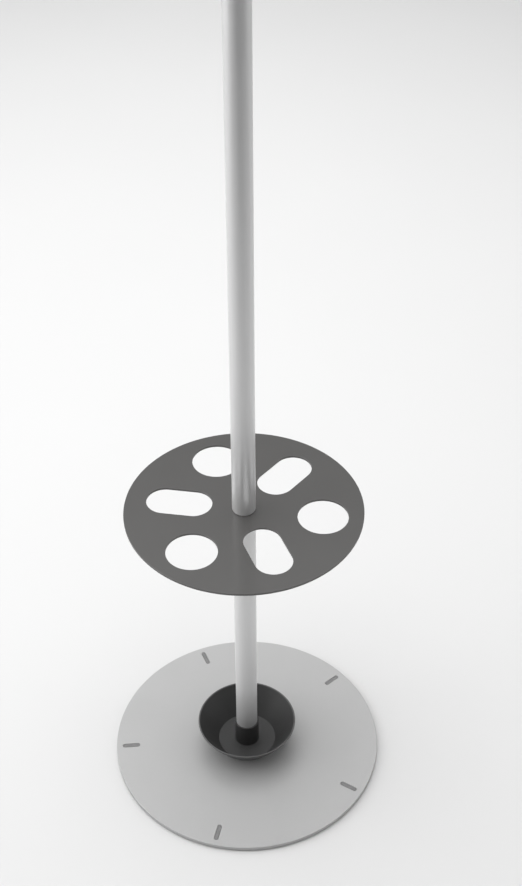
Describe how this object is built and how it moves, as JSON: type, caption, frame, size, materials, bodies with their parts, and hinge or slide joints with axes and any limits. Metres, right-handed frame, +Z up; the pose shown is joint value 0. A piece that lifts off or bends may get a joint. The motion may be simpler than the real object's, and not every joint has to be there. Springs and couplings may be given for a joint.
{
  "type": "umbrella stand",
  "caption": "Free-standing umbrella stand: round steel base, tubular pole, a disc with slots and round holes that holds umbrellas upright, and a drip bowl that slides up the pole.",
  "frame": {"origin": "on the floor, on the pole's axis", "axes": "+Z up along the pole; -Y is the front, where the disc has a slot just to the right of the middle, and +X is to the right seen from the front"},
  "size_m": [0.38, 0.38, 1.155],
  "materials": {
    "silver_paint": "satin silver-grey powder coat",
    "dark_paint": "satin warm dark-grey powder coat",
    "satin_aluminium": "satin anodised",
    "dark_plastic": "fine matt moulded",
    "grey_rubber": "matt",
    "zinc_steel": "bright zinc plated",
    "grey_nylon": "smooth"
  },
  "bodies": {
    "stand": {"base_plate": "silver_paint", "foot_1": "grey_rubber", "foot_2": "grey_rubber", "foot_3": "grey_rubber", "foot_4": "grey_rubber", "foot_5": "grey_rubber", "base_screw": "zinc_steel", "lower_tube": "satin_aluminium", "lower_tube_foot_plug": "zinc_steel", "lower_tube_head_plug": "zinc_steel", "upper_tube": "satin_aluminium", "upper_tube_foot_plug": "zinc_steel", "top_cap": "dark_plastic", "umbrella_disc": "dark_paint", "disc_backing_washer": "dark_paint", "disc_joint_washer": "grey_nylon", "disc_stud": "zinc_steel"},
    "bowl": {"drip_bowl": "dark_plastic"}
  },
  "joints": [
    {"name": "bowl_lift", "type": "slide", "parent": "stand", "child": "bowl", "axis": [0, 0, 1], "range_m": [0, 0.403]}
  ]
}
